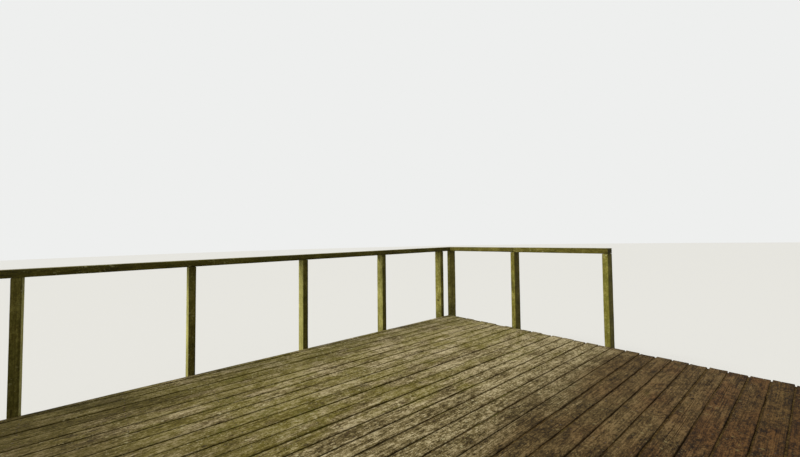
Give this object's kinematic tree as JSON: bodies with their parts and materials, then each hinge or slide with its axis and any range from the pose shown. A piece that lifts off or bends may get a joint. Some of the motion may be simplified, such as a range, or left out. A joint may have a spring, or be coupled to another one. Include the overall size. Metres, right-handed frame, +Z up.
{
  "type": "timber deck platform on piles with a post-and-rail handrail",
  "caption": "Weathered timber deck of spaced boards on joists, bearers and square piles, with a flat-topped handrail on its water side and a return rail at each end.",
  "frame": {"origin": "at ground level under the middle of the overall outline", "axes": "+X along the deck boards, +Y to the water side with the long handrail, +Z up"},
  "size_m": [5.152, 3.945, 1.467],
  "materials": {
    "boards": "weathered sawn timber with moss and algae",
    "joists": "rough sawn, damp and dark",
    "bearers": "rough sawn, damp and dark",
    "piles": "rough sawn, dark and wet at the foot",
    "posts": "rough sawn with green algae",
    "rails": "weathered, dark brown with green algae"
  },
  "bodies": {
    "root": {"deck_boards_1": "boards", "deck_boards_2": "boards", "deck_boards_3": "boards", "deck_boards_4": "boards", "edge_board": "boards", "joist_1": "joists", "joist_2": "joists", "joist_3": "joists", "joist_4": "joists", "joist_5": "joists", "joist_6": "joists", "joist_7": "joists", "joist_8": "joists", "joist_9": "joists", "joist_10": "joists", "joist_11": "joists", "joist_12": "joists", "joist_13": "joists", "bearer_1": "bearers", "bearer_2": "bearers", "bearer_3": "bearers", "bearer_4": "bearers", "bearer_5": "bearers", "pile_row_1": "piles", "pile_row_2": "piles", "pile_row_3": "piles", "pile_row_4": "piles", "pile_row_5": "piles", "water_post_1": "posts", "water_post_2": "posts", "water_post_3": "posts", "water_post_4": "posts", "water_post_5": "posts", "water_post_6": "posts", "left_post_1": "posts", "left_post_2": "posts", "left_post_3": "posts", "right_post_1": "posts", "right_post_2": "posts", "right_post_3": "posts", "water_rail": "rails", "left_rail_1": "rails", "left_rail_2": "rails", "right_rail_1": "rails", "right_rail_2": "rails"}
  },
  "joints": []
}
